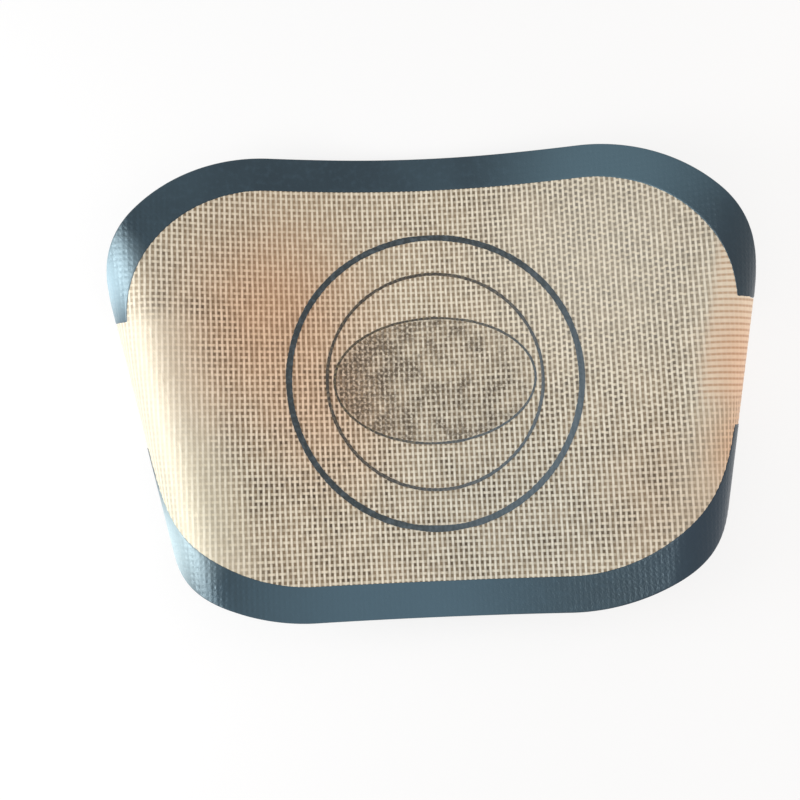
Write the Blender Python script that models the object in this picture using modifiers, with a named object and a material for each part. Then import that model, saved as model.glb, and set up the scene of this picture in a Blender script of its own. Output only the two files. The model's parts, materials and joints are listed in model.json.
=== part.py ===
# Bread sling: one sheet of coated glass cloth with a strap at each end, an edge band in two runs
# and three printed guides. It stands as it lies on a table, with both straps folded back under it.
# The flat sheet has u along its length, v across it, and the middle of the sheet at zero.
# Each piece is drawn flat, cut along the fold lines, and then laid on the draped surface.

import math

import bmesh
import bpy
from mathutils import Matrix, Vector

# Flat sizes of the sheet, in metres
BODY_LENGTH = 0.284
BODY_WIDTH = 0.196
FAR_CORNER_RADIUS = 0.075
NEAR_CORNER_RADIUS = 0.089
STRAP_WIDTH = 0.051
STRAP_LENGTH = 0.095
STRAP_END_RADIUS = 0.012
CLOTH_THICKNESS = 0.0007

# Edge band
BAND_WIDTH = 0.0145
BAND_THICKNESS = 0.0010

# Printed guides
GUIDE_THICKNESS = 0.0002
GUIDE_SHIFT = 0.001
THICK_RING_DIAMETER = 0.127
THICK_RING_LINE = 0.0024
THIN_RING_DIAMETER = 0.0936
THIN_RING_LINE = 0.0012
OVAL_WIDTH = 0.0545
OVAL_LINE = 0.0009
OVAL_TO_RING = 0.0021

# Gap between pieces that meet
SEAM_GAP = 0.0003

# Drape: a wide sag in the middle, and a curl at each end that takes its strap back under the sheet.
# A curl's inset is how far inside the body's end the cloth stands upright, at the outermost line.
SAG_RADIUS = 0.453
SAG_LIFT = 0.0011
RIGHT_CURL_RADIUS = 0.0165
RIGHT_CURL_INSET = 0.002
RIGHT_SKEW = math.radians(11.1)
LEFT_CURL_RADIUS = 0.0155
LEFT_CURL_INSET = 0.0086
LEFT_SKEW = math.radians(13.1)

# Turn taken up by the first of the two folds that open a curl; the second takes the rest
FIRST_FOLD_TURN = math.radians(90)

# Fineness of the surface
CORNER_STEPS = 16
STRAP_CORNER_STEPS = 6
GUIDE_STEPS = 90
SAG_STEP = 0.012
CURL_STEPS = 24

CLOTH_COLOR = (0.62, 0.50, 0.37, 1.0)
BAND_COLOR = (0.052, 0.094, 0.125, 1.0)
GUIDE_COLOR = (0.028, 0.058, 0.085, 1.0)

# Height of the cloth's mid surface where neither end lifts it
LOWEST = CLOTH_THICKNESS / 2 + SAG_LIFT

FOLD_TURNS = (FIRST_FOLD_TURN, math.pi - FIRST_FOLD_TURN)

# The oval lies inside the thin ring
OVAL_LENGTH = THIN_RING_DIAMETER - 2 * (THIN_RING_LINE + OVAL_TO_RING)


class Side:
    """One end of the sheet: the direction of its folds, and the section of its sag and its curl."""

    def __init__(self, name, sign, curl, inset, skew):
        self.name = name
        self.curl = curl
        self.normal = Vector((sign * math.cos(skew), -math.sin(skew), 0))
        self.along = Vector((sign * math.sin(skew), math.cos(skew), 0))
        self.rise = math.acos((SAG_RADIUS - curl + SAG_LIFT) / (SAG_RADIUS + curl))
        self.top = BODY_LENGTH / 2 - inset - curl * math.pi / 2
        self.sag_start = self.top - (SAG_RADIUS + curl) * self.rise
        self.bottom = self.top + curl * math.pi
        self.centre_out = self.sag_start + (SAG_RADIUS + curl) * math.sin(self.rise)
        self.centre_up = CLOTH_THICKNESS / 2 + curl

    def distance(self, u, v):
        return self.normal.x * u + self.normal.y * v

    def section(self, s):
        """Place of the cloth's mid surface at the distance s along the sheet: outwards, and up."""
        if s <= self.sag_start:
            return s, LOWEST
        angle = (s - self.sag_start) / SAG_RADIUS
        if angle <= self.rise:
            out = self.sag_start + SAG_RADIUS * math.sin(angle)
            return out, LOWEST + SAG_RADIUS * (1 - math.cos(angle))
        if s <= self.bottom:
            turned = (s - self.top) / self.curl
            return (
                self.centre_out + self.curl * math.sin(turned),
                self.centre_up + self.curl * math.cos(turned),
            )
        return self.centre_out - (s - self.bottom), CLOTH_THICKNESS / 2

    def curl_line(self, turned):
        """Distance along the sheet at which the curl has turned this far from its top."""
        return self.top + self.curl * turned

    def hinge(self, index):
        """A point on the axis about which one fold opens: it lies in the middle of the fold's arc, and
        far enough out for the opened pieces to lie where the flat sheet would take them."""
        half = FOLD_TURNS[index] / 2
        middle = sum(FOLD_TURNS[:index]) + half
        radius = self.curl * half / math.sin(half)
        out = self.centre_out + radius * math.sin(middle)
        return self.normal * out + Vector((0, 0, self.centre_up + radius * math.cos(middle)))

    def cut(self, index):
        """Distance along the sheet at which the pieces on either side of a fold part."""
        return self.curl_line(sum(FOLD_TURNS[:index]) + FOLD_TURNS[index] / 2)


SIDES = (
    Side("right", 1, RIGHT_CURL_RADIUS, RIGHT_CURL_INSET, RIGHT_SKEW),
    Side("left", -1, LEFT_CURL_RADIUS, LEFT_CURL_INSET, LEFT_SKEW),
)


def draped(u, v):
    """The flat point on the draped surface: each end adds its own sag and curl to the flat sheet."""
    point = Vector((u, v, LOWEST))
    for side in SIDES:
        s = side.distance(u, v)
        out, up = side.section(s)
        point += side.normal * (out - s) + Vector((0, 0, up - LOWEST))
    return point


def above(u, v, height):
    """The flat point at this height over the draped surface, square to it."""
    step = CLOTH_THICKNESS
    along = draped(u + step, v) - draped(u - step, v)
    across = draped(u, v + step) - draped(u, v - step)
    return draped(u, v) + along.cross(across).normalized() * height


# Flat outlines

def arc(centre_u, centre_v, radius, start, end, steps):
    angles = [start + (end - start) * i / steps for i in range(steps + 1)]
    return [(centre_u + radius * math.cos(a), centre_v + radius * math.sin(a)) for a in angles]


def quarter(inset, corner_radius, start_v):
    """Edge of the body from the strap's edge round one corner, at this inset, for u and v above zero."""
    u = BODY_LENGTH / 2 - corner_radius
    v = BODY_WIDTH / 2 - corner_radius
    radius = corner_radius - inset
    if start_v < v:
        return [(u + radius, start_v)] + arc(u, v, radius, 0, math.pi / 2, CORNER_STEPS)
    return arc(u, v, radius, math.asin((start_v - v) / radius), math.pi / 2, CORNER_STEPS)


def mirrored(points, u_sign, v_sign):
    return [(u_sign * u, v_sign * v) for u, v in points]


def half_edge(inset, radius, start_v, v_sign):
    """Edge of the far or near half of the body, from the right strap round to the left one."""
    corner = quarter(inset, radius, start_v)
    return mirrored(corner, 1, v_sign) + mirrored(corner, -1, v_sign)[::-1]


def strap_end():
    """Rounded end of the right strap, from its near edge to its far edge."""
    u = BODY_LENGTH / 2 + STRAP_LENGTH - STRAP_END_RADIUS
    v = STRAP_WIDTH / 2 - STRAP_END_RADIUS
    near = arc(u, -v, STRAP_END_RADIUS, -math.pi / 2, 0, STRAP_CORNER_STEPS)
    return near + arc(u, v, STRAP_END_RADIUS, 0, math.pi / 2, STRAP_CORNER_STEPS)


def cloth_outline():
    inset = BAND_WIDTH + SEAM_GAP
    far = half_edge(inset, FAR_CORNER_RADIUS, STRAP_WIDTH / 2, 1)
    near = half_edge(inset, NEAR_CORNER_RADIUS, STRAP_WIDTH / 2, -1)
    end = strap_end()
    return end + far + mirrored(end, -1, 1)[::-1] + near[::-1]


def band_outline(radius, v_sign):
    start_v = STRAP_WIDTH / 2 + SEAM_GAP
    outer = half_edge(0.0, radius, start_v, v_sign)
    inner = half_edge(BAND_WIDTH, radius, start_v, v_sign)
    return outer + inner[::-1]


def ellipse(length, width):
    circle = arc(0, 0, 1, 0, 2 * math.pi, GUIDE_STEPS)[:-1]
    return [(GUIDE_SHIFT + length / 2 * u, width / 2 * v) for u, v in circle]


def flat_mesh(outlines):
    """Filled flat shape inside the outlines, as a bmesh whose doubled points are joined."""
    curve = bpy.data.curves.new("flat_outline", "CURVE")
    curve.dimensions = "2D"
    curve.fill_mode = "BOTH"
    for outline in outlines:
        spline = curve.splines.new("POLY")
        spline.points.add(len(outline) - 1)
        spline.use_cyclic_u = True
        for point, (u, v) in zip(spline.points, outline):
            point.co = (u, v, 0, 1)
    drawn = bpy.data.objects.new("flat_outline", curve)
    bpy.context.scene.collection.objects.link(drawn)
    graph = bpy.context.evaluated_depsgraph_get()
    mesh = bpy.data.meshes.new_from_object(drawn.evaluated_get(graph))
    bpy.data.objects.remove(drawn)
    bpy.data.curves.remove(curve)
    shape = bmesh.new()
    shape.from_mesh(mesh)
    bpy.data.meshes.remove(mesh)
    bmesh.ops.remove_doubles(shape, verts=shape.verts, dist=SEAM_GAP / 10)
    return shape


def slice_at(shape, side, distance, keep=None):
    """Cuts the flat shape along a line parallel to the side's folds, and keeps both parts or one."""
    bmesh.ops.bisect_plane(
        shape,
        geom=shape.verts[:] + shape.edges[:] + shape.faces[:],
        dist=SEAM_GAP / 100,
        plane_co=side.normal * distance,
        plane_no=side.normal,
        clear_outer=keep == "inside",
        clear_inner=keep == "outside",
    )


def bend_lines(side):
    """Distances at which the cloth bends, close enough together for the surface to look round."""
    count = math.ceil((side.top - side.sag_start) / SAG_STEP)
    lines = [side.sag_start + (side.top - side.sag_start) * i / count for i in range(count)]
    return lines + [side.curl_line(math.pi * i / CURL_STEPS) for i in range(CURL_STEPS + 1)]


def piece(name, outline, limits, thickness, material, holder):
    """One node of the sheet: the part of a flat outline inside the limits, draped and given its wall.
    Each limit is a side, a distance along the sheet there, and the part that is kept."""
    shape = flat_mesh([outline])
    bmesh.ops.dissolve_faces(shape, faces=shape.faces[:])
    for side, distance, keep in limits:
        slice_at(shape, side, distance, keep)
    for side in SIDES:
        for distance in bend_lines(side):
            slice_at(shape, side, distance)
    for vertex in shape.verts:
        vertex.co = draped(vertex.co.x, vertex.co.y)
    return solid(name, shape, thickness, material, holder)


def guide(name, length, width, line, material, holder):
    """A printed line: an ellipse of this size outside, its line drawn inwards, just over the cloth."""
    shape = flat_mesh([ellipse(length, width), ellipse(length - 2 * line, width - 2 * line)])
    height = CLOTH_THICKNESS / 2 + SEAM_GAP + GUIDE_THICKNESS / 2
    for vertex in shape.verts:
        vertex.co = above(vertex.co.x, vertex.co.y, height)
    return solid(name, shape, GUIDE_THICKNESS, material, holder)


def solid(name, shape, thickness, material, holder):
    mesh = bpy.data.meshes.new(name)
    shape.to_mesh(mesh)
    shape.free()
    mesh.shade_smooth()
    mesh.set_sharp_from_angle(angle=math.radians(35))
    mesh.materials.append(material)
    node = bpy.data.objects.new(name, mesh)
    parts.objects.link(node)
    wall = node.modifiers.new("wall", "SOLIDIFY")
    wall.thickness = thickness
    wall.offset = 0.0
    wall.use_even_offset = True
    held_by(node, holder)
    return node


def held_by(child, holder):
    """Parents the child without moving it: both are placed in the sheet's own frame."""
    child.parent = holder
    child.matrix_parent_inverse = holder.matrix_basis.inverted()


def axis_empty(name, place, holder):
    """An empty on a fold's axis, which is its own Y."""
    empty = bpy.data.objects.new(name, None)
    empty.empty_display_size = STRAP_WIDTH
    parts.objects.link(empty)
    empty.matrix_basis = place
    if holder:
        held_by(empty, holder)
    return empty


def surface(name, color, roughness):
    material = bpy.data.materials.new(name)
    material.use_nodes = True
    shader = material.node_tree.nodes["Principled BSDF"]
    shader.inputs["Base Color"].default_value = color
    shader.inputs["Roughness"].default_value = roughness
    shader.inputs["Metallic"].default_value = 0.0
    return material


# Start from an empty scene
for old in list(bpy.data.objects):
    bpy.data.objects.remove(old)
parts = bpy.data.collections.new("bread_sling")
bpy.context.scene.collection.children.link(parts)

weave = surface("coated_weave", CLOTH_COLOR, 0.45)
silicone = surface("edge_silicone", BAND_COLOR, 0.35)
ink = surface("guide_print", GUIDE_COLOR, 0.5)

mat = axis_empty("mat", Matrix.Identity(4), None)

# The open middle of the sheet, as far as the first fold of each curl
half_gap = SEAM_GAP / 2
middle = [(side, side.cut(0) - half_gap, "inside") for side in SIDES]
cloth = cloth_outline()
bands = {
    "far": band_outline(FAR_CORNER_RADIUS, 1),
    "near": band_outline(NEAR_CORNER_RADIUS, -1),
}
piece("woven_panel", cloth, middle, CLOTH_THICKNESS, weave, mat)
for where, outline in bands.items():
    piece("edge_band_" + where, outline, middle, BAND_THICKNESS, silicone, mat)

guide("guide_ring_thick", THICK_RING_DIAMETER, THICK_RING_DIAMETER, THICK_RING_LINE, ink, mat)
guide("guide_ring_thin", THIN_RING_DIAMETER, THIN_RING_DIAMETER, THIN_RING_LINE, ink, mat)
guide("guide_oval", OVAL_LENGTH, OVAL_WIDTH, OVAL_LINE, ink, mat)


def reach(outline, side):
    """Greatest distance along the sheet that an outline comes to on one side."""
    return max(side.distance(u, v) for u, v in outline)


# The curls and straps: each fold carries the pieces from its own cut to the next one
segments = (("end", "end_flap", "band_corner"), ("handle", "handle_strap", "band_tip"))
for side in SIDES:
    turn = Matrix.Rotation(math.atan2(-side.along.x, side.along.y), 4, "Z")
    holder = mat
    for index, (body, cloth_name, band_name) in enumerate(segments):
        holder = axis_empty(f"{side.name}_{body}", Matrix.Translation(side.hinge(index)) @ turn, holder)
        start = side.cut(index) + half_gap
        limits = [(side, start, "outside")]
        if index + 1 < len(segments):
            limits.append((side, side.cut(index + 1) - half_gap, "inside"))
        piece(f"{cloth_name}_{side.name}", cloth, limits, CLOTH_THICKNESS, weave, holder)
        for where, outline in bands.items():
            if reach(outline, side) > start + SEAM_GAP:
                piece(f"{band_name}_{where}_{side.name}", outline, limits, BAND_THICKNESS, silicone, holder)

# The origin lies at the middle of the whole part's footprint, on the table
bpy.context.view_layer.update()
graph = bpy.context.evaluated_depsgraph_get()
corners = []
for node in parts.objects:
    if node.type == "MESH":
        shown = node.evaluated_get(graph)
        corners += [shown.matrix_world @ vertex.co for vertex in shown.data.vertices]
low = Vector([min(corner[i] for corner in corners) for i in range(3)])
high = Vector([max(corner[i] for corner in corners) for i in range(3)])
mat.location = (-(low.x + high.x) / 2, -(low.y + high.y) / 2, -low.z)
bpy.context.view_layer.update()

print("size", [round(1000 * (high[i] - low[i]), 2) for i in range(3)], "mm")
for side in SIDES:
    strap_middle = math.copysign(BODY_LENGTH / 2 + STRAP_LENGTH * 2 / 3, side.normal.x)
    foot = mat.location + draped(strap_middle, 0) - Vector((0, 0, CLOTH_THICKNESS / 2))
    print(side.name, "foot", [round(x, 6) for x in foot])
for empty in parts.objects:
    if empty.type == "EMPTY":
        axis = empty.matrix_world.to_3x3() @ Vector((0, 1, 0))
        print(empty.name, [round(x, 6) for x in empty.matrix_world.translation], [round(x, 6) for x in axis])
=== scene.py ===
import json
import math

import bpy
import numpy as np
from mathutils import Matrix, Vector


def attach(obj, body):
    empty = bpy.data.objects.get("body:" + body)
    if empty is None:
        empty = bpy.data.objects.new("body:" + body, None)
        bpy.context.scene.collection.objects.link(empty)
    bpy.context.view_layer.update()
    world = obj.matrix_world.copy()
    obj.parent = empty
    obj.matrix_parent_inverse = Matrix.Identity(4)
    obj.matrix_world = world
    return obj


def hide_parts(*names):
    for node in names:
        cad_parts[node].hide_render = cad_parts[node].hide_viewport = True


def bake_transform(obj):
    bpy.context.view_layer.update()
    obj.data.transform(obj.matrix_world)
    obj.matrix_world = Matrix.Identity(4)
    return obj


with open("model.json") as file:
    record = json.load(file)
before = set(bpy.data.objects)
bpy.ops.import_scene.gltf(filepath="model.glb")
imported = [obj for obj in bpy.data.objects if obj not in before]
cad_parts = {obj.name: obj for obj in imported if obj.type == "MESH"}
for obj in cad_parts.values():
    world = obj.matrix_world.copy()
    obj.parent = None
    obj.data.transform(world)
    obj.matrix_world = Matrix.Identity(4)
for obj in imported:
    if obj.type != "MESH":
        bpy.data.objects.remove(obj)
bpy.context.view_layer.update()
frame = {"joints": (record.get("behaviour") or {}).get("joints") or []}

# The sheet as it is cut, in metres: u runs along it, v across it, and its middle is at zero
sheet = {
    "bodyLength": 0.284,
    "bodyWidth": 0.196,
    "farCorner": 0.075,
    "nearCorner": 0.089,
    "strapWidth": 0.051,
    "strapLength": 0.095,
    "strapEndRadius": 0.012,
}

# How it lies: a wide sag between two curls, which take the straps back under the sheet
drape = {
    "clothThickness": 0.0007,
    "sagRadius": 0.453,
    "sagLift": 0.0011,
    "sides": {
        "right": {"sign": 1, "curl": 0.0165, "inset": 0.002, "skew": 11.1},
        "left": {"sign": -1, "curl": 0.0155, "inset": 0.0086, "skew": 13.1},
    },
}


def makeSide(sign, curl, inset, skew):
    skew = math.radians(skew)
    rise = math.acos((drape["sagRadius"] - curl + drape["sagLift"]) / (drape["sagRadius"] + curl))
    top = sheet["bodyLength"] / 2 - inset - curl * math.pi / 2
    sagStart = top - (drape["sagRadius"] + curl) * rise
    return {
        "curl": curl,
        "rise": rise,
        "normal": np.array((sign * math.cos(skew), -math.sin(skew), 0)),
        "sagStart": sagStart,
        "top": top,
        "quarter": top + curl * math.pi / 2,
        "bottom": top + curl * math.pi,
        "centreOut": sagStart + (drape["sagRadius"] + curl) * math.sin(rise),
        "centreUp": drape["clothThickness"] / 2 + curl,
    }


lowest = drape["clothThickness"] / 2 + drape["sagLift"]
sides = {name: makeSide(**given) for name, given in drape["sides"].items()}


def distanceTo(side, u, v):
    return side["normal"][0] * u + side["normal"][1] * v


def hingePoint(side):
    # out and up from the curl's middle by half of the quarter turn that the hinge opens
    reach = side["curl"] * math.pi / 4
    return side["normal"] * (side["centreOut"] + reach) + np.array((0, 0, side["centreUp"] + reach))


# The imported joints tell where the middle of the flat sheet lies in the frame
joints = {joint["name"]: joint for joint in frame["joints"]}
shift = np.array(joints["right_fold"]["pos_m"]) - hingePoint(sides["right"])


def laid(u, v):
    # places of flat points on the draped mid surface
    points = np.stack((u, v, np.full_like(u, lowest)), axis=1)
    for side in sides.values():
        s = distanceTo(side, u, v)
        sag = np.clip((s - side["sagStart"]) / drape["sagRadius"], 0, side["rise"])
        out = np.minimum(s, side["sagStart"]) + drape["sagRadius"] * np.sin(sag)
        up = drape["sagRadius"] * (1 - np.cos(sag))
        turned = np.clip((s - side["top"]) / side["curl"], -side["rise"], math.pi)
        curled = s > side["sagStart"] + drape["sagRadius"] * side["rise"]
        curlOut = side["centreOut"] + side["curl"] * np.sin(turned) - np.maximum(s - side["bottom"], 0)
        curlUp = side["centreUp"] + side["curl"] * np.cos(turned) - lowest
        out = np.where(curled, curlOut, out)
        up = np.where(curled, curlUp, up)
        points += (out - s)[:, None] * side["normal"]
        points[:, 2] += up
    return points + shift


def laidNormals(u, v):
    step = 0.0002
    along = laid(u + step, v) - laid(u - step, v)
    across = laid(u, v + step) - laid(u, v - step)
    normals = np.cross(along, across)
    return normals / np.linalg.norm(normals, axis=1)[:, None]


print("the sheet's middle lies at", [round(float(x), 6) for x in shift])

# Plain weave of thick yarns, as the coating holds it: shares of the pitch and heights in metres
weave = {
    "pitchU": 0.002184,
    "pitchV": 0.002468,
    "yarnShare": 0.44,
    "core": 0.00038,  # thickness between the yarns
    "crown": 0.0001,
    "swing": 0.00006,
    "stray": 0.0001,
    "strayLength": 0.034,
    "stagger": 0.00055,  # how far the weft yarns bend up and down between the warp yarns, where they do
    "staggerPlace": ((0.025, 0.06), (-0.05, 0.0)),  # from none to all, along the sheet and across it
    "staggerEnd": (0.1, 0.114),  # and back to none, before the fold
    "staggerEdge": (0.001, 0.006),  # and from none at the cloth's edge
}


def smoothStep(value, start, end):
    part = np.clip((value - start) / (end - start), 0, 1)
    return part * part * (3 - 2 * part)


def yarnRidge(place, pitch):
    # 1 on the middle of a yarn, 0 past its edge
    off = np.abs(np.mod(place / pitch, 1) - 0.5) / (weave["yarnShare"] / 2)
    return np.sqrt(np.clip(1 - off ** 2, 0, 1))


def weaveRelief(u, v, face):
    # height of the yarns on one face: each goes over and under the ones that it crosses
    i, j = np.floor(u / weave["pitchU"]), np.floor(v / weave["pitchV"])
    warpSwing = face * np.cos(math.pi * i) * np.cos(math.pi * (v / weave["pitchV"] - 0.5))
    weftSwing = -face * np.cos(math.pi * j) * np.cos(math.pi * (u / weave["pitchU"] - 0.5))
    warp = yarnRidge(u, weave["pitchU"]) * (weave["crown"] + weave["swing"] * warpSwing)
    weft = yarnRidge(v, weave["pitchV"]) * (weave["crown"] + weave["swing"] * weftSwing)
    return np.maximum(warp, weft)


def yarnStray(u, v):
    # how far the yarns stray from a perfect grid: the cloth was never stretched quite evenly, and the wave
    # numbers are uneven so that no two places of it stray alike
    a, b = (2 * math.pi * x / weave["strayLength"] for x in (u, v))
    strayU = np.sin(a + 1.7 * np.sin(0.83 * b)) * np.cos(1.31 * b + 0.4)
    strayV = np.sin(1.13 * b + 1.1 * np.sin(0.71 * a) + 2.0)
    amount = weave["stagger"] * smoothStep(-clothDistance(u, v), *weave["staggerEdge"])
    amount = amount * (1 - smoothStep(u, *weave["staggerEnd"]))
    for place, (none, full) in zip((u, v), weave["staggerPlace"]):
        amount = amount * smoothStep(place, none, full)
    stagger = amount * np.cos(math.pi * u / weave["pitchU"])
    return weave["stray"] * strayU, weave["stray"] * strayV + stagger


# Signed distances to the flat outlines, below zero inside

def roundedBox(u, v, halfU, halfV, radius):
    q = np.stack((np.abs(u) - halfU + radius, np.abs(v) - halfV + radius))
    outside = np.linalg.norm(np.maximum(q, 0), axis=0)
    return outside + np.minimum(np.maximum(q[0], q[1]), 0) - radius


def bodyDistance(u, v):
    half = sheet["bodyLength"] / 2, sheet["bodyWidth"] / 2
    far = roundedBox(u, v, *half, sheet["farCorner"])
    near = roundedBox(u, v, *half, sheet["nearCorner"])
    return np.where(v > 0, far, near)


def strapDistance(u, v):
    halfU = sheet["bodyLength"] / 2 + sheet["strapLength"]
    return roundedBox(u, v, halfU, sheet["strapWidth"] / 2, sheet["strapEndRadius"])


def clothDistance(u, v):
    return np.minimum(bodyDistance(u, v) + cloth["underBand"], strapDistance(u, v))


def activate(piece):
    bpy.ops.object.select_all(action="DESELECT")
    bpy.context.view_layer.objects.active = piece
    piece.select_set(True)


def flatOf(piece):
    points = np.empty(len(piece.data.vertices) * 3, np.float32)
    piece.data.vertices.foreach_get("co", points)
    return points.reshape(-1, 3).astype(float)


def putPoints(piece, points):
    piece.data.vertices.foreach_set("co", points.astype(np.float32).ravel())
    piece.data.update()


def addGrid(name, columns, rows):
    # a flat grid whose column i and row j can then be sent anywhere
    bpy.ops.object.select_all(action="DESELECT")
    bpy.ops.mesh.primitive_grid_add(x_subdivisions=columns - 1, y_subdivisions=rows - 1, size=1)
    piece = bpy.context.object
    piece.name = name
    points = flatOf(piece)
    i = np.rint((points[:, 0] + 0.5) * (columns - 1)).astype(int)
    j = np.rint((points[:, 1] + 0.5) * (rows - 1)).astype(int)
    return piece, i, j


def faceCentres(piece):
    centres = np.empty(len(piece.data.polygons) * 3, np.float32)
    piece.data.polygons.foreach_get("center", centres)
    return centres.reshape(-1, 3).astype(float)


def selectFaces(piece, chosen):
    activate(piece)
    bpy.ops.object.mode_set(mode="EDIT")
    bpy.ops.mesh.select_mode(type="FACE")
    bpy.ops.mesh.select_all(action="DESELECT")
    bpy.ops.object.mode_set(mode="OBJECT")
    piece.data.polygons.foreach_set("select", chosen)
    bpy.ops.object.mode_set(mode="EDIT")


def cutFlat(piece, point, normal):
    activate(piece)
    bpy.ops.object.mode_set(mode="EDIT")
    bpy.ops.mesh.select_all(action="SELECT")
    bpy.ops.mesh.bisect(plane_co=point, plane_no=normal, threshold=1e-7)
    bpy.ops.object.mode_set(mode="OBJECT")


def zoneOf(centres):
    # which stretch of the sheet each point is on: the middle, the curls' upper quarters, or below them
    zones = np.full(len(centres), "middle", dtype=object)
    for name, side in sides.items():
        s = distanceTo(side, centres[:, 0], centres[:, 1])
        zones[s > side["top"]] = name + "Fold"
        zones[s > side["quarter"]] = name + "Under"
    return zones


def separateZones(piece, halves=False):
    # cuts the flat piece where the bodies of the frame take over from each other
    for side in sides.values():
        for line in ("top", "quarter"):
            cutFlat(piece, side["normal"] * side[line], side["normal"])
    parts = {}
    zones = zoneOf(faceCentres(piece))
    if halves:
        zones[(zones == "middle") & (faceCentres(piece)[:, 0] < 0)] = "middleLeft"
    names = sorted(set(zones))
    for zone in names[1:]:
        selectFaces(piece, zones == zone)
        bpy.ops.mesh.separate(type="SELECTED")
        bpy.ops.object.mode_set(mode="OBJECT")
        made = [o for o in bpy.context.selected_objects if o != piece][0]
        parts[zone] = made
        zones = zones[zones != zone]
    parts[names[0]] = piece
    return parts


def addWall(piece, thickness):
    activate(piece)
    wall = piece.modifiers.new("wall", "SOLIDIFY")
    wall.thickness = thickness
    wall.offset = 0
    wall.use_rim = True
    bpy.ops.object.modifier_apply(modifier="wall")


def layOnDrape(piece, heightOf, stray=False):
    # keeps the flat place as the UV map, in millimetres, and takes the piece to the draped surface
    flat = flatOf(piece)
    u, v, face = flat[:, 0], flat[:, 1], np.sign(flat[:, 2])
    height = heightOf(u, v, face)
    corners = np.empty(len(piece.data.loops), np.int32)
    piece.data.loops.foreach_get("vertex_index", corners)
    while piece.data.uv_layers:
        piece.data.uv_layers.remove(piece.data.uv_layers[0])
    layer = piece.data.uv_layers.new(name="flatSheet")
    layer.data.foreach_set("uv", (flat[corners, :2] * 1000).astype(np.float32).ravel())
    if stray:
        strayU, strayV = yarnStray(u, v)
        u, v = u + strayU, v + strayV
    putPoints(piece, laid(u, v) + laidNormals(u, v) * height[:, None])
    activate(piece)
    bpy.ops.object.shade_smooth_by_angle(angle=math.radians(40))


def flatArea(piece):
    areas = np.empty(len(piece.data.polygons), np.float32)
    piece.data.polygons.foreach_get("area", areas)
    return float(areas.sum())


def rideZone(piece, zone):
    if zone.startswith("middle"):
        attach(piece, "mat")
        return
    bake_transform(piece)


# The woven cloth: one blank, cut to its outline and parted at the folds
cloth = {
    "underBand": 0.006,  # how far in from the body's edge the cloth ends, inside the band
    "cellsU": 109,  # yarns each way from the middle
    "cellsV": 38,
}


def yarnLines(pitch, count):
    # both edges and the middle of each yarn
    share = weave["yarnShare"] / 2
    return [(i + 0.5 + off) * pitch for i in range(-count, count) for off in (-share, 0, share)]


def makeCloth():
    linesU = np.array(yarnLines(weave["pitchU"], cloth["cellsU"]))
    linesV = np.array(yarnLines(weave["pitchV"], cloth["cellsV"]))
    piece, i, j = addGrid("wovenCloth", len(linesU), len(linesV))
    flat = np.stack((linesU[i], linesV[j], np.zeros(len(i))), axis=1)
    putPoints(piece, flat)
    centres = faceCentres(piece)
    selectFaces(piece, clothDistance(centres[:, 0], centres[:, 1]) > 0)
    bpy.ops.mesh.delete(type="FACE")
    bpy.ops.mesh.select_all(action="SELECT")
    bpy.ops.mesh.select_mode(type="EDGE")
    bpy.ops.mesh.region_to_loop()
    bpy.ops.object.mode_set(mode="OBJECT")
    edge = np.empty(len(piece.data.vertices), bool)
    piece.data.vertices.foreach_get("select", edge)
    flat = flatOf(piece)
    step = 0.0001
    for _ in range(4):  # draws the stepped edge onto the outline
        u, v = flat[edge, 0], flat[edge, 1]
        off = clothDistance(u, v)
        slopeU = (clothDistance(u + step, v) - off) / step
        slopeV = (clothDistance(u, v + step) - off) / step
        part = off / np.maximum(slopeU ** 2 + slopeV ** 2, 0.5)  # and no leap from a corner
        flat[edge, :2] -= np.stack((part * slopeU, part * slopeV), axis=1)
    putPoints(piece, flat)
    return separateZones(piece, halves=True)


def clothHeight(u, v, face):
    return face * (weave["core"] / 2 + weaveRelief(u, v, face))


clothNodes = {
    "middle": "woven_panel",
    "middleLeft": "woven_panel",
    "rightFold": "end_flap_right",
    "leftFold": "end_flap_left",
    "rightUnder": "handle_strap_right",
    "leftUnder": "handle_strap_left",
}
clothParts = makeCloth()
for zone, piece in clothParts.items():
    piece.name = "wovenCloth_" + zone
    area = flatArea(piece)
    flat = flatOf(piece)
    addWall(piece, weave["core"])
    layOnDrape(piece, clothHeight, stray=True)
    rideZone(piece, zone)
    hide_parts(clothNodes[zone])
    print(piece.name, len(piece.data.polygons), "faces,", round(area * 1e4, 1), "square centimetres")

# The silicone edge band: two runs, rounded at their edges and embossed by the cloth inside
band = {
    "width": 0.0145,
    "thickness": 0.0010,
    "edgeRound": 0.0006,
    "rimShare": 0.35,  # of the thickness is left at the very edge
    "emboss": 0.0001,
    "embossUneven": 0.3,
    "embossWaves": (911, 787),  # radians in a metre: it varies over about 7 mm along and 8 mm across
    "foldStart": 0.084,  # from here to there the windows come to show so many times deeper
    "foldEnd": 0.1,
    "foldTimes": {"right": 1.7, "left": 3.0},
    "seamGap": 0.0003,
    "stepAlong": 0.0005,
    "edgeRows": (0, 0.0001, 0.00025, 0.0005),
    "innerFrom": 0.0009,
    "stepAcross": 0.0005,
}


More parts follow.
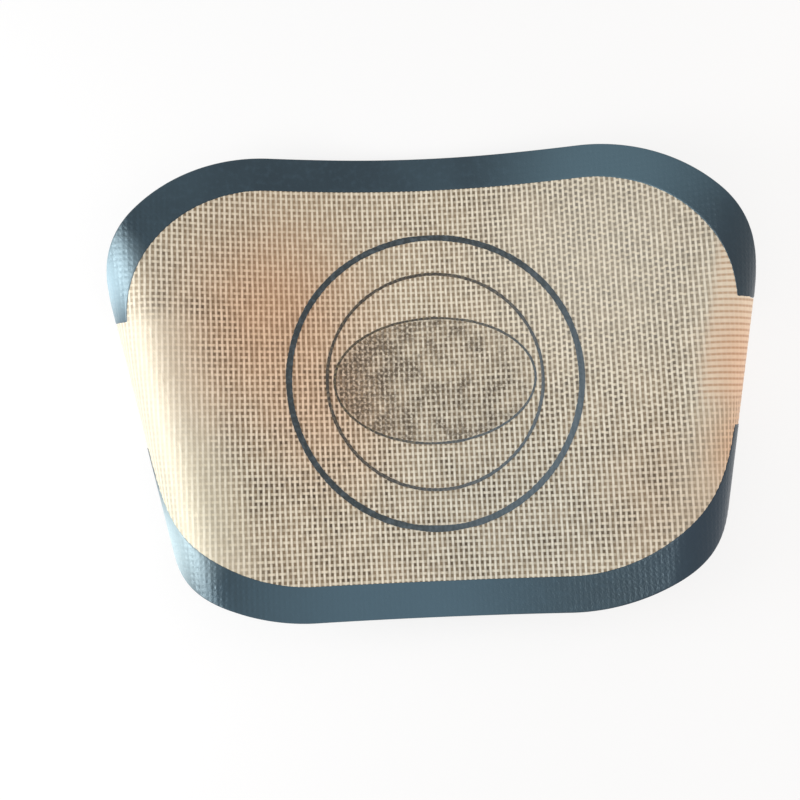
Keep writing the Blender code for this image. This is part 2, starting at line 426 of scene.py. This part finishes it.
def edgeStations(inset, radius, v0, count):
    # the body's edge from the strap's root round a corner to the middle, this far in
    centreU = sheet["bodyLength"] / 2 - radius
    centreV = sheet["bodyWidth"] / 2 - radius
    r = radius - inset
    first = math.asin(max(v0 - centreV, 0) / r)
    angles = np.linspace(first, math.pi / 2, count["arc"])
    u = centreU + r * np.cos(angles)
    v = centreV + r * np.sin(angles)
    if v0 < centreV:
        rootV = np.linspace(v0, centreV, count["root"], endpoint=False)
        u = np.concatenate((np.full(count["root"], centreU + r), u))
        v = np.concatenate((rootV, v))
    sideU = np.linspace(centreU, 0, count["side"])[1:]
    return np.concatenate((u, sideU)), np.concatenate((v, np.full(len(sideU), centreV + r)))


def makeBand(name, radius, farOrNear):
    v0 = sheet["strapWidth"] / 2 + band["seamGap"]
    centreV = sheet["bodyWidth"] / 2 - radius
    count = {
        "arc": round(radius * math.pi / 2 / band["stepAlong"]),
        "root": max(round((centreV - v0) / band["stepAlong"]), 0),
        "side": round((sheet["bodyLength"] / 2 - radius) / band["stepAlong"]),
    }
    inner = np.arange(band["innerFrom"], band["width"] - band["innerFrom"], band["stepAcross"])
    insets = [*band["edgeRows"], *inner, *(band["width"] - x for x in reversed(band["edgeRows"]))]
    rows = [edgeStations(inset, radius, v0, count) for inset in insets]
    rows = [(np.concatenate((u, -u[-2::-1])), np.concatenate((v, v[-2::-1]))) for u, v in rows]
    piece, i, j = addGrid(name, len(rows[0][0]), len(rows))
    u = np.array([row[0] for row in rows])[j, i]
    v = np.array([row[1] for row in rows])[j, i] * farOrNear
    putPoints(piece, np.stack((u, v, np.zeros(len(u))), axis=1))
    activate(piece)
    bpy.ops.object.mode_set(mode="EDIT")
    bpy.ops.mesh.select_all(action="SELECT")
    bpy.ops.mesh.normals_make_consistent(inside=False)
    bpy.ops.object.mode_set(mode="OBJECT")
    if piece.data.polygons[0].normal.z < 0:
        piece.data.flip_normals()
    return separateZones(piece)


def bandHeight(u, v, face):
    # rounded over near its edges, and dimpled over the windows of the cloth inside
    inset = -bodyDistance(u, v)
    rootGap = np.abs(v) - sheet["strapWidth"] / 2 - band["seamGap"]
    fromEdge = np.clip(np.minimum(np.minimum(inset, band["width"] - inset), rootGap), 0, band["edgeRound"])
    part = fromEdge / band["edgeRound"]
    rounded = band["rimShare"] + (1 - band["rimShare"]) * np.sqrt(np.clip(1 - (1 - part) ** 2, 0, 1))
    waveU, waveV = band["embossWaves"]
    dimple = 1 - band["embossUneven"] + band["embossUneven"] * np.sin(waveU * u + 1.3) * np.sin(waveV * v)
    for name, times in band["foldTimes"].items():
        onFold = smoothStep(distanceTo(sides[name], u, v), band["foldStart"], band["foldEnd"])
        dimple = dimple * (1 + (times - 1) * onFold)
    for place, pitch in ((u, weave["pitchU"]), (v, weave["pitchV"])):
        dimple = dimple * (1 + np.cos(2 * math.pi * place / pitch)) / 2
    return face * (band["thickness"] / 2 * rounded - band["emboss"] * dimple * part)


bandNodes = {
    "middle": "edge_band_{0}",
    "rightFold": "band_corner_{0}_right",
    "leftFold": "band_corner_{0}_left",
    "rightUnder": "band_corner_{0}_right",
    "leftUnder": "band_corner_{0}_left",
}
bandParts = []
for where, radius, farOrNear in (("far", sheet["farCorner"], 1), ("near", sheet["nearCorner"], -1)):
    for zone, piece in makeBand("edgeBand", radius, farOrNear).items():
        piece.name = "edgeBand_" + where + "_" + zone
        addWall(piece, band["thickness"])
        layOnDrape(piece, bandHeight)
        rideZone(piece, zone)
        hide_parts(bandNodes[zone].format(where))
        bandParts.append(piece)
        print(piece.name, len(piece.data.polygons), "faces")

# The printed guides: thin films of ink that follow the yarns, with edges that have bled along them
guides = {
    "guide_ring_thick": {"name": "thickRing", "length": 0.127, "width": 0.127, "line": 0.0024, "rows": 6},
    "guide_ring_thin": {"name": "thinRing", "length": 0.0936, "width": 0.0936, "line": 0.0012, "rows": 4},
    "guide_oval": {"name": "ovalLine", "length": 0.087, "width": 0.0545, "line": 0.0009, "rows": 3},
}
ink = {
    "shiftU": 0.001,
    "film": 0.00008,
    "lift": 0.00007,
    "steps": 900,
    "bleed": 0.00016,
    "bleedEvenly": 0.35,  # shares of the bleed: all round, by where the yarns run, and in wide waves
    "bleedByYarns": 0.35,
    "bleedInWaves": 0.5,
    "bleedWaves": (311, 277),  # radians in a metre: about 20 mm along and 23 mm across
}


def inkHeight(u, v, face):
    strayU, strayV = yarnStray(u, v)
    onYarns = weave["core"] / 2 + weaveRelief(u - strayU, v - strayV, np.ones_like(u)) + ink["lift"]
    return onYarns + (1 + face) / 2 * ink["film"]


def bleedEdges(piece, guide):
    # moves the ink's edges in and out by where the yarns run
    flat = flatOf(piece)
    u, v = flat[:, 0] - ink["shiftU"], flat[:, 1]
    reach = np.hypot(u / guide["length"], v / guide["width"]) * 2
    fromMiddle = (reach - 1) * guide["width"] / 2 / guide["line"] + 0.5
    along = np.sin(2 * math.pi * u / weave["pitchU"] + 1.3) + np.sin(2 * math.pi * v / weave["pitchV"])
    waveU, waveV = ink["bleedWaves"]
    uneven = np.sin(waveU * u + 2.1) * np.sin(waveV * v)
    bleed = ink["bleedByYarns"] * along + ink["bleedInWaves"] * uneven + ink["bleedEvenly"]
    grow = 1 + 2 * fromMiddle * ink["bleed"] * bleed / np.hypot(u, v)
    flat[:, 0], flat[:, 1] = u * grow + ink["shiftU"], v * grow
    putPoints(piece, flat)


guideParts = []
for node, guide in guides.items():
    bpy.ops.object.select_all(action="DESELECT")
    bpy.ops.mesh.primitive_circle_add(vertices=ink["steps"], radius=1, location=(0, 0, 0))
    piece = bpy.context.object
    piece.name = guide["name"]
    bpy.ops.object.mode_set(mode="EDIT")
    bpy.ops.mesh.select_all(action="SELECT")
    halves = (guide["length"] / 2, guide["width"] / 2)
    bpy.ops.transform.resize(value=(*halves, 1))
    part = guide["line"] / guide["rows"]
    for row in range(guide["rows"]):
        shrink = [(half - (row + 1) * part) / (half - row * part) for half in halves]
        bpy.ops.mesh.extrude_edges_move()
        bpy.ops.transform.resize(value=(*shrink, 1))
    bpy.ops.mesh.select_all(action="SELECT")
    bpy.ops.transform.translate(value=(ink["shiftU"], 0, 0))
    bpy.ops.object.mode_set(mode="OBJECT")
    if piece.data.polygons[0].normal.z < 0:
        piece.data.flip_normals()
    bleedEdges(piece, guide)
    addWall(piece, ink["film"])
    layOnDrape(piece, inkHeight)
    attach(piece, "mat")
    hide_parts(node)
    guideParts.append(piece)
    print(piece.name, len(piece.data.polygons), "faces")


def linear(code):
    # an sRGB hex colour as the linear values that a socket takes
    values = [int(code[k:k + 2], 16) / 255 for k in (1, 3, 5)]
    return (*[x / 12.92 if x <= 0.04045 else ((x + 0.055) / 1.055) ** 2.4 for x in values], 1)


def addNode(tree, kind, settings=None, *inputs):
    # inputs follow in the node's own order, or stand among its settings by name or number: another node's
    # output is linked there, and anything else is set
    node = tree.nodes.new("ShaderNode" + kind)
    for name, value in {**(settings or {}), **dict(enumerate(inputs))}.items():
        if isinstance(value, bpy.types.NodeSocket):
            tree.links.new(value, node.inputs[name])
        elif isinstance(name, int) or name in node.inputs:
            node.inputs[name].default_value = value
        else:
            setattr(node, name, value)
    return node.outputs


def newMaterial(name):
    material = bpy.data.materials.new(name)
    material.use_nodes = True
    return material, material.node_tree, material.node_tree.nodes["Principled BSDF"]


# Every pattern is drawn on the flat sheet, which the UV map keeps in millimetres, as the sizes below are.
# Four numbers are a stretch: from, to, and the two values there, between which it eases in and out
eased = {"interpolation_type": "SMOOTHSTEP"}


def fadeBy(tree, share, *stretches):
    # lowers a share by other values, each given with its stretch
    for stretch in stretches:
        part = addNode(tree, "MapRange", eased, *stretch)[0]
        share = addNode(tree, "Math", {"operation": "MULTIPLY"}, share, part)[0]
    return share


def paint(tree, colour, layers, how="MIX"):
    # lays colours over one another in turn, each by its own share
    for share, layer in layers:
        settings = {"data_type": "RGBA", "blend_type": how, 6: colour, 7: layer}
        colour = addNode(tree, "Mix", settings, share)[2]
    return colour


def spotLayers(tree, flat, spots):
    # colours that fade away from a place, at full strength for a tenth of their reach
    layers = []
    for place, reach, amount, colour in spots:
        far = addNode(tree, "VectorMath", {"operation": "DISTANCE"}, flat, (*place, 0))["Value"]
        share = addNode(tree, "MapRange", eased, far, 0.1 * reach, reach, amount, 0.0)[0]
        layers.append((share, linear(colour)))
    return layers


# Glass cloth, plain woven and dipped in clear silicone: pale yarns with a satin gloss round darker, honey
# brown windows of silicone, each window and each yarn a little unlike the next
clothLooks = {
    "warpYarn": "#ede5d3",
    "weftYarn": "#d9ceb8",
    "yarnShare": 0.42,  # of the pitch
    "soft": 0.1,
    "warpCrossingShade": (-0.7, 0.3, 0.85, 1.0),  # painted shade: a yarn is painted darker where another one crosses over it
    "weftCrossingShade": (-0.3, 0.7, 1.0, 0.55),
    "streakSize": (2.38, 6.25),  # across and along the warp yarns
    "warpUneven": (0.3, 0.65, 0.6, 1.0),
    "weftUneven": (0.0, 0.8, 0.45, 1.0),
    "window": "#75654f",
    "windowDark": "#43362a",
    "windowUneven": (0.35, 0.65, 0.3, 1.0),
    "patchSize": 18.2,  # from one thick place of the coat to the next
    "haze": "#a08d74",  # where the coat is thicker, and hides the windows
    "hazeUneven": (0.36, 0.6, 0.45, 0.0),
    "hazes": (
        ((-58, 52), 56, 0.75, "#a8937a"),
        ((-20, 44), 46, 0.55, "#a08d74"),
        ((-76, 0), 36, 0.4, "#a08d74"),
        ((76, 48), 80, 0.5, "#a9a599"),
    ),
    "highlightWhite": "#e3d9c3",  # painted highlight: the folds are painted paler, near white, where the lamps' light glares on the coat
    "paintedFoldHighlights": {
        "left": {"start": 82, "end": 110, "amount": 0.74, "across": 27},
        "right": {"start": 98, "end": 118, "amount": 0.42, "across": 50},
    },
    # on the right fold, but for its near part, the coat lies level with the warp yarns and leaves slits
    "levelled": {"start": 107, "end": 113, "amount": 0.8, "across": 50},
    "levelledFar": (-22, -10, 0.0, 1.0),
    "slit": "#c0a084",
    "slitGap": 0.36,
    "ridge": "#e6d8c2",
    "foldFar": (-5, 9, 1.0, 0.2),  # how these fade near the bands, counted from how far across they go
    "foldNear": (-9, 5, 0.88, 1.0),
    # painted warm light and tone: the pink and peach spots are painted warm light falling on the cloth, and
    # the others shift its tone or darken the upper left
    "tintsAndWarmLight": (
        ((-66, 22), 62, 0.9, "#ffe3d3"),
        ((-44, -22), 40, 0.5, "#ffe3d3"),
        ((134, 0), 32, 0.8, "#ffe6da"),
        ((-62, 56), 60, 0.6, "#ede4dc"),
        ((-104, -52), 44, 0.4, "#f7fffb"),
        ((28, -58), 80, 0.9, "#f0f5fa"),
        ((98, -54), 46, 0.8, "#f1e8e3"),
        ((131, -34), 30, 0.85, "#f2cfb8"),
    ),
    "roughness": (0.44, 0.54),  # of the windows and of the yarns
    "sheen": "#fff3dd",
    "strandSize": 1.14,  # from one twisted strand of a yarn to the next
    "strandBump": {"Strength": 0.12, "Distance": 0.0001},
}

# The mottled field printed in the oval: heavier to the left and towards the oval's line
stain = {
    "colour": "#453a30",
    "middle": (1.0, 0.0),
    "reach": (42.5, 26.3),
    "cloudSize": 9.09,
    "leftwards": -0.14,
    "outwards": 0.12,
    "heavy": (0.44, 0.74, 0.16, 0.8),
    "speckSize": 1.25,
    "specks": (0.4, 0.58, 0.25, 1.0),
    "edge": (0.97, 1.01, 1.0, 0.0),
}


def yarnMask(tree, turns, share, soft):
    # 1 on a yarn and 0 beside it, from a place in yarns
    part = addNode(tree, "Math", {"operation": "FRACT"}, turns)[0]
    off = addNode(tree, "Math", {"operation": "SUBTRACT"}, part, 0.5)[0]
    away = addNode(tree, "Math", {"operation": "ABSOLUTE"}, off)[0]
    return addNode(tree, "MapRange", eased, away, share / 2 - soft, share / 2 + soft, 1.0, 0.0)[0]


def foldShare(tree, flat, name, start, end, amount, across):
    # rises towards one side's fold and over it, and fades out on the strap below and towards the bands
    side = sides[name]
    s = addNode(tree, "VectorMath", {"operation": "DOT_PRODUCT"}, flat, tuple(side["normal"]))["Value"]
    v = addNode(tree, "SeparateXYZ", {}, flat)["Y"]
    farStart, farEnd, *far = clothLooks["foldFar"]
    nearStart, nearEnd, *near = clothLooks["foldNear"]
    return fadeBy(
        tree,
        addNode(tree, "MapRange", eased, s, start, end, 0.0, amount)[0],
        (s, side["quarter"] * 1000, side["bottom"] * 1000, 1.0, 0.0),
        (v, across + farStart, across + farEnd, *far),
        (v, -across + nearStart, -across + nearEnd, *near),
    )


def ovalStain(tree, flat):
    # how much of the mottled print covers the cloth: in clouds, and broken up into specks
    centred = addNode(tree, "VectorMath", {"operation": "SUBTRACT"}, flat, (*stain["middle"], 0))[0]
    place = addNode(tree, "VectorMath", {"operation": "DIVIDE"}, centred, (*stain["reach"], 1))[0]
    reach = addNode(tree, "VectorMath", {"operation": "LENGTH"}, place)["Value"]
    heavy = addNode(tree, "TexNoise", {"Scale": 1 / stain["cloudSize"], "Detail": 3.0}, flat)["Fac"]
    x = addNode(tree, "SeparateXYZ", {}, place)["X"]
    for value, amount in ((x, stain["leftwards"]), (reach, stain["outwards"])):
        added = addNode(tree, "Math", {"operation": "MULTIPLY"}, value, amount)[0]
        heavy = addNode(tree, "Math", {"operation": "ADD"}, heavy, added)[0]
    heavy = addNode(tree, "MapRange", eased, heavy, *stain["heavy"])[0]
    specks = addNode(tree, "TexNoise", {"Scale": 1 / stain["speckSize"], "Detail": 4.0}, flat)["Fac"]
    return fadeBy(tree, heavy, (specks, *stain["specks"]), (reach, *stain["edge"]))


def dippedGlassCloth():
    looks = clothLooks
    material, tree, shader = newMaterial("siliconeDippedGlassCloth")
    flat = addNode(tree, "UVMap", {"uv_map": "flatSheet"})["UV"]
    pitch = (weave["pitchU"] * 1000, weave["pitchV"] * 1000, 1)
    turns = addNode(tree, "VectorMath", {"operation": "DIVIDE"}, flat, pitch)[0]
    yarns = addNode(tree, "SeparateXYZ", {}, turns)
    warp, weft = (yarnMask(tree, yarns[axis], looks["yarnShare"], looks["soft"]) for axis in ("X", "Y"))

    lots = []  # drawn for each window, and for each bridge of weft between two windows
    for start in ((0.5, 0.5, 0), (0.5, 0, 0)):
        shifted = addNode(tree, "VectorMath", {"operation": "ADD"}, turns, start)[0]
        cell = addNode(tree, "VectorMath", {"operation": "FLOOR"}, shifted)[0]
        lots.append(addNode(tree, "TexWhiteNoise", {"noise_dimensions": "2D"}, cell)["Value"])
    perWindow, perBridge = lots
    patches = addNode(tree, "TexNoise", {"Scale": 1 / looks["patchSize"], "Detail": 3.0}, flat)["Fac"]
    streaks = addNode(tree, "VectorMath", {"operation": "DIVIDE"}, flat, (*looks["streakSize"], 1))[0]
    uneven = addNode(tree, "TexNoise", {"Scale": 1.0, "Detail": 2.0}, streaks)["Fac"]

    waves = []
    for axis in ("X", "Y"):
        angle = addNode(tree, "Math", {"operation": "MULTIPLY"}, yarns[axis], math.pi)[0]
        waves.append(addNode(tree, "Math", {"operation": "SINE"}, angle)[0])
    # 1 where the warp yarn lies on top, -1 where the weft yarn does
    over = addNode(tree, "Math", {"operation": "MULTIPLY"}, *waves)[0]
    # painted shade: each yarn is darker where the other one crosses over it
    warpGlow = fadeBy(tree, warp, (uneven, *looks["warpUneven"]), (over, *looks["warpCrossingShade"]))
    weftGlow = fadeBy(tree, weft, (perBridge, *looks["weftUneven"]), (over, *looks["weftCrossingShade"]))
    v = addNode(tree, "SeparateXYZ", {}, flat)["Y"]
    levelled = fadeBy(tree, foldShare(tree, flat, "right", **looks["levelled"]), (v, *looks["levelledFar"]))
    # painted highlights on the folds, where the lamps' light glares on the coat
    paintedFoldHighlights = [foldShare(tree, flat, name, **given) for name, given in looks["paintedFoldHighlights"].items()]
    windowColour = paint(tree, linear(looks["window"]), [
        (fadeBy(tree, perWindow, (patches, *looks["windowUneven"])), linear(looks["windowDark"])),
        (addNode(tree, "MapRange", eased, patches, *looks["hazeUneven"])[0], linear(looks["haze"])),
        *spotLayers(tree, flat, looks["hazes"]),
        *((share, linear(looks["highlightWhite"])) for share in paintedFoldHighlights),
        (levelled, linear(looks["slit"])),
    ])

    # the levelled coat takes the single yarns' place with broad ridges
    unlevelled = addNode(tree, "Math", {"operation": "SUBTRACT"}, 1.0, levelled)[0]
    warpGlow = addNode(tree, "Math", {"operation": "MULTIPLY"}, warpGlow, unlevelled)[0]
    weftGlow = addNode(tree, "Math", {"operation": "MULTIPLY"}, weftGlow, unlevelled)[0]
    ridge = yarnMask(tree, yarns["Y"], 1 - looks["slitGap"], looks["soft"])
    ridgeGlow = addNode(tree, "Math", {"operation": "MULTIPLY"}, ridge, levelled)[0]
    weftGlow = addNode(tree, "Math", {"operation": "ADD"}, weftGlow, ridgeGlow)[0]
    weftColour = paint(tree, linear(looks["weftYarn"]), [(levelled, linear(looks["ridge"]))])
    colour = paint(tree, windowColour, [(weftGlow, weftColour), (warpGlow, linear(looks["warpYarn"]))])
    # painted warm light in pink and peach, with tone shifts, multiplied over the cloth
    colour = paint(tree, colour, spotLayers(tree, flat, looks["tintsAndWarmLight"]), how="MULTIPLY")
    colour = paint(tree, colour, [(ovalStain(tree, flat), linear(stain["colour"]))])

    yarn = addNode(tree, "Math", {"operation": "MAXIMUM"}, warp, weft)[0]
    roughness = addNode(tree, "MapRange", eased, yarn, 0.0, 1.0, *looks["roughness"])[0]
    bands = {"wave_type": "BANDS", "bands_direction": "DIAGONAL", "Distortion": 1.5}
    bands["Scale"] = 2 * math.pi / 10 / looks["strandSize"]  # at scale 1 ten bands take up 2 pi
    strands = addNode(tree, "TexWave", bands, flat)["Fac"]
    bump = addNode(tree, "Bump", {**looks["strandBump"], "Height": strands})["Normal"]
    tree.links.new(colour, shader.inputs["Base Color"])
    tree.links.new(roughness, shader.inputs["Roughness"])
    tree.links.new(bump, shader.inputs["Normal"])
    shader.inputs["IOR"].default_value = 1.46  # glass, under a coat of clear silicone
    shader.inputs["Specular Tint"].default_value = linear(looks["sheen"])
    return material


# Silicone edge, moulded on and smooth: slate blue, satin, with the cloth's grain showing through
bandLooks = {
    "slate": "#2e3f4a",
    "deep": "#222f39",
    "deepSize": 55.6,
    "deepUneven": (0.35, 0.65, 0.0, 1.0),
    "bloom": "#384b59",
    "bloomSize": 2.86,
    "bloomUneven": (0.45, 0.75, 0.0, 0.35),
    "paintedLightAndShade": (  # painted light and shade: paler where the band faces the lamps, painted highlights on the left fold, and painted shade on the right fold
        ((-20, -92), 105, 0.85, "#486170"),
        ((78, 86), 64, 0.9, "#4b6471"),
        ((-141, 44), 28, 0.85, "#b2ceda"),
        ((-121, -66), 35, 0.95, "#bcd2d8"),
        ((116, -62), 58, 0.85, "#242e3c"),
        ((138, 42), 44, 0.8, "#222b35"),
    ),
    "sheen": "#dcf6ff",
    "roughness": 0.34,
    "grainSize": 0.667,
    "grainBump": {"Strength": 0.4, "Distance": 0.0003},
}


def slateSilicone():
    looks = bandLooks
    material, tree, shader = newMaterial("slateBlueSilicone")
    flat = addNode(tree, "UVMap", {"uv_map": "flatSheet"})["UV"]
    wide = addNode(tree, "TexNoise", {"Scale": 1 / looks["deepSize"], "Detail": 2.0}, flat)["Fac"]
    fine = addNode(tree, "TexNoise", {"Scale": 1 / looks["bloomSize"], "Detail": 4.0}, flat)["Fac"]
    colour = paint(tree, linear(looks["deep"]), [
        (addNode(tree, "MapRange", eased, wide, *looks["deepUneven"])[0], linear(looks["slate"])),
        (addNode(tree, "MapRange", eased, fine, *looks["bloomUneven"])[0], linear(looks["bloom"])),
        # painted light and shade on the band: highlights on the left fold, shade on the right one
        *spotLayers(tree, flat, looks["paintedLightAndShade"]),
    ])
    grain = addNode(tree, "TexNoise", {"Scale": 1 / looks["grainSize"], "Detail": 2.0}, flat)["Fac"]
    bump = addNode(tree, "Bump", {**looks["grainBump"], "Height": grain})["Normal"]
    tree.links.new(colour, shader.inputs["Base Color"])
    tree.links.new(bump, shader.inputs["Normal"])
    shader.inputs["Roughness"].default_value = looks["roughness"]
    shader.inputs["IOR"].default_value = 1.46  # a little over plain silicone, for its gloss
    shader.inputs["Specular Tint"].default_value = linear(looks["sheen"])
    return material


# Screen-printed silicone ink: blue black, nearly matt, and thinner in places, where the brown cloth shows
inkLooks = {
    "thickRing": {"dense": "#263034", "sparse": "#424e55", "patchSize": 2.5},
    "thinRing": {"dense": "#38342f", "sparse": "#6a6152", "patchSize": 1.43},
    "ovalLine": {"dense": "#3c362f", "sparse": "#74694f", "patchSize": 1.11},
}
inkUneven = (0.42, 0.68, 0.0, 1.0)
inkWear = ((50, -28), 96, 0.65, "#566873")  # the right side of the guides has faded to a bluer grey


def printedInk(name, dense, sparse, patchSize):
    material, tree, shader = newMaterial(name + "Ink")
    flat = addNode(tree, "UVMap", {"uv_map": "flatSheet"})["UV"]
    cover = addNode(tree, "TexNoise", {"Scale": 1 / patchSize, "Detail": 4.0}, flat)["Fac"]
    colour = paint(tree, linear(dense), [
        (addNode(tree, "MapRange", eased, cover, *inkUneven)[0], linear(sparse)),
        *spotLayers(tree, flat, [inkWear]),
    ])
    tree.links.new(colour, shader.inputs["Base Color"])
    shader.inputs["Roughness"].default_value = 0.55
    shader.inputs["IOR"].default_value = 1.41  # silicone
    return material


def dress(pieces, material):
    for piece in pieces:
        piece.data.materials.clear()
        piece.data.materials.append(material)


dress(clothParts.values(), dippedGlassCloth())
dress(bandParts, slateSilicone())
for piece in guideParts:
    dress([piece], printedInk(piece.name, **inkLooks[piece.name]))
print("materials made")

# The room: a white floor, soft lamps, and the camera that the photograph was taken with
room = {
    "floorSize": 6,
    "floorDrop": 0.0002,  # below the straps
    "floorColour": "#f4f4f4",
    "floorGlow": 0.78,  # how much of the floor's look is its own white, and how much is lit
    "floorFade": (0.3, 0.9),  # from here to there it turns all white, as the paper roll behind it does
    "lamps": {
        "window": {"place": (-0.40, -0.06, 0.22), "size": (0.28, 0.14), "power": 1.15},
        "pane": {"place": (-0.37, -0.05, 0.33), "size": (0.60, 0.32), "power": 4.1, "diffuse": False},
        "warmFill": {
            "place": (0.55, 0.02, 0.26),
            "size": (0.50, 0.40),
            "power": 1.3,
            "colour": "#ffeadb",
            "glossy": False,
        },
    },
    "dayLight": 0.62,
}

# Fitted to the photograph: the point on the table that it looks at, and the angles and distance that it has
view = {
    "target": (-0.01377, -0.00737),
    "elevation": 84.67,
    "yaw": -2.38,
    "distance": 0.4263,
    "lens": 44.36,
    "sensor": 36,
}


def makeFloor():
    # the matt white paper that it lies on, which keeps its shadow
    bpy.ops.object.select_all(action="DESELECT")
    bpy.ops.mesh.primitive_plane_add(size=room["floorSize"], location=(0, 0, -room["floorDrop"]))
    floor = bpy.context.object
    floor.name = "floor"
    material, tree, shader = newMaterial("whiteFloor")
    shader.inputs["Base Color"].default_value = linear(room["floorColour"])
    shader.inputs["Roughness"].default_value = 0.9
    rays = addNode(tree, "LightPath")
    seen = addNode(tree, "Math", {"operation": "MAXIMUM"}, rays["Is Camera Ray"], rays["Is Glossy Ray"])[0]
    place = addNode(tree, "TexCoord")["Object"]
    away = addNode(tree, "VectorMath", {"operation": "LENGTH"}, place)["Value"]
    share = fadeBy(tree, seen, (away, *room["floorFade"], room["floorGlow"], 1.0))
    glow = addNode(tree, "Emission", {"Color": (1, 1, 1, 1), "Strength": 1.0})["Emission"]
    mixed = addNode(tree, "MixShader", {}, share, shader.outputs["BSDF"], glow)["Shader"]
    tree.links.new(mixed, tree.nodes["Material Output"].inputs["Surface"])
    floor.data.materials.append(material)


def makeLamp(name, place, size, power, colour="#ffffff", diffuse=True, glossy=True):
    lamp = bpy.data.lights.new(name, "AREA")
    lamp.energy = power
    lamp.shape = "RECTANGLE"
    lamp.size, lamp.size_y = size
    lamp.color = linear(colour)[:3]
    holder = bpy.data.objects.new(name, lamp)
    bpy.context.scene.collection.objects.link(holder)
    holder.location = place
    holder.rotation_euler = (-Vector(place)).to_track_quat("-Z", "Y").to_euler()
    holder.visible_diffuse = diffuse
    holder.visible_glossy = glossy


def makeDaylight():
    # white for the camera, and softer where it lights the object
    world = bpy.data.worlds.new("studio")
    world.use_nodes = True
    bpy.context.scene.world = world
    tree = world.node_tree
    rays = addNode(tree, "LightPath")
    seen = rays["Is Camera Ray"]
    for kind in ("Is Transmission Ray", "Is Glossy Ray"):
        seen = addNode(tree, "Math", {"operation": "MAXIMUM"}, seen, rays[kind])[0]
    amount = addNode(tree, "MapRange", {"To Min": room["dayLight"], "To Max": 1.0}, seen)[0]
    backdrop = tree.nodes["Background"]
    backdrop.inputs["Color"].default_value = (1, 1, 1, 1)
    tree.links.new(amount, backdrop.inputs["Strength"])


def makeCamera():
    elevation, yaw = math.radians(view["elevation"]), math.radians(view["yaw"])
    turn = np.array(((math.cos(yaw), -math.sin(yaw), 0), (math.sin(yaw), math.cos(yaw), 0), (0, 0, 1)))
    forward = turn @ np.array((0, math.cos(elevation), -math.sin(elevation)))
    target = turn @ np.array((*view["target"], 0)) + shift * (1, 1, 0)
    camera = bpy.data.cameras.new("camera")
    camera.sensor_width = view["sensor"]
    camera.lens = view["lens"]
    holder = bpy.data.objects.new("camera", camera)
    bpy.context.scene.collection.objects.link(holder)
    holder.location = target - view["distance"] * forward
    holder.rotation_euler = Vector(forward).to_track_quat("-Z", "Y").to_euler()
    bpy.context.scene.camera = holder


makeFloor()
for name, lamp in room["lamps"].items():
    makeLamp(name, **lamp)
makeDaylight()
makeCamera()
bpy.context.scene.view_settings.view_transform = "Standard"
print("room made")
